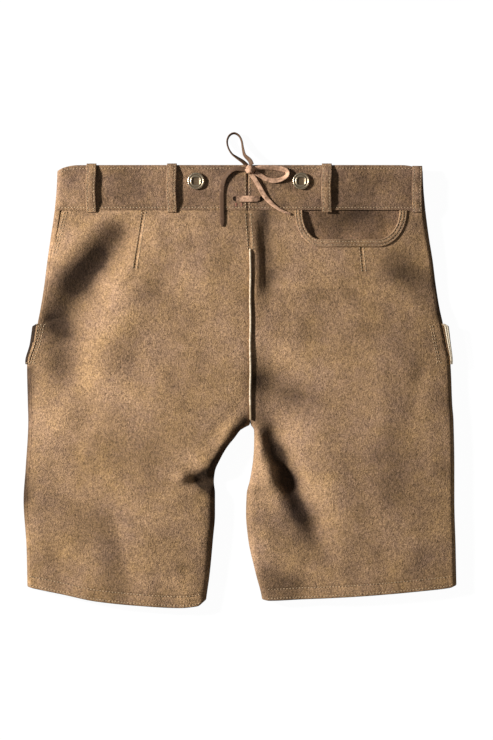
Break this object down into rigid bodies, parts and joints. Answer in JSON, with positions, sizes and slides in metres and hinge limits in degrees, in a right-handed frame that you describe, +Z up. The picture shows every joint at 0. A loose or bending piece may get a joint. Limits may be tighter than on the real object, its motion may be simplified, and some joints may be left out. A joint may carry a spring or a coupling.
{
  "type": "lederhosen",
  "caption": "Short suede lederhosen laid flat, back side up, with a laced waistband, belt loops, a scooped back pocket and pale seam piping.",
  "frame": {"origin": "on the ground under the middle of the laid garment, its free lace left out", "axes": "+Z up from the ground out of the garment's back, +Y towards the waist, +X towards the wearer's right leg"},
  "size_m": [0.5093, 0.5604, 0.0249],
  "materials": {
    "suede": "brushed suede",
    "suede_under": "suede, shaded under layer",
    "piping": "smooth pale leather",
    "lace": "smooth thong",
    "button_metal": "aged metal"
  },
  "bodies": {
    "root": {"back_left": "suede", "back_right": "suede", "front_left": "suede", "front_right": "suede", "waistband_left": "suede", "waistband_right": "suede", "front_flap": "suede", "belt_loop_back_left_outer": "suede", "belt_loop_back_left_inner": "suede", "belt_loop_back_right_inner": "suede", "belt_loop_back_right_outer": "suede", "belt_loop_front_left": "suede", "belt_loop_front_right": "suede", "back_pocket_binding": "suede", "back_pocket_facing": "suede_under", "knife_pocket_left": "suede_under", "knife_pocket_right": "suede_under", "knife_pocket_edge_right": "piping", "centre_piping": "piping", "button_back_left": "button_metal", "button_back_right": "button_metal", "button_front_left": "button_metal", "button_front_right": "button_metal", "lace_knot": "lace", "lace_bar": "lace", "lace_loop_up": "lace", "lace_loop_right": "lace", "lace_end_left": "lace", "lace_end_right": "lace"}
  },
  "joints": []
}
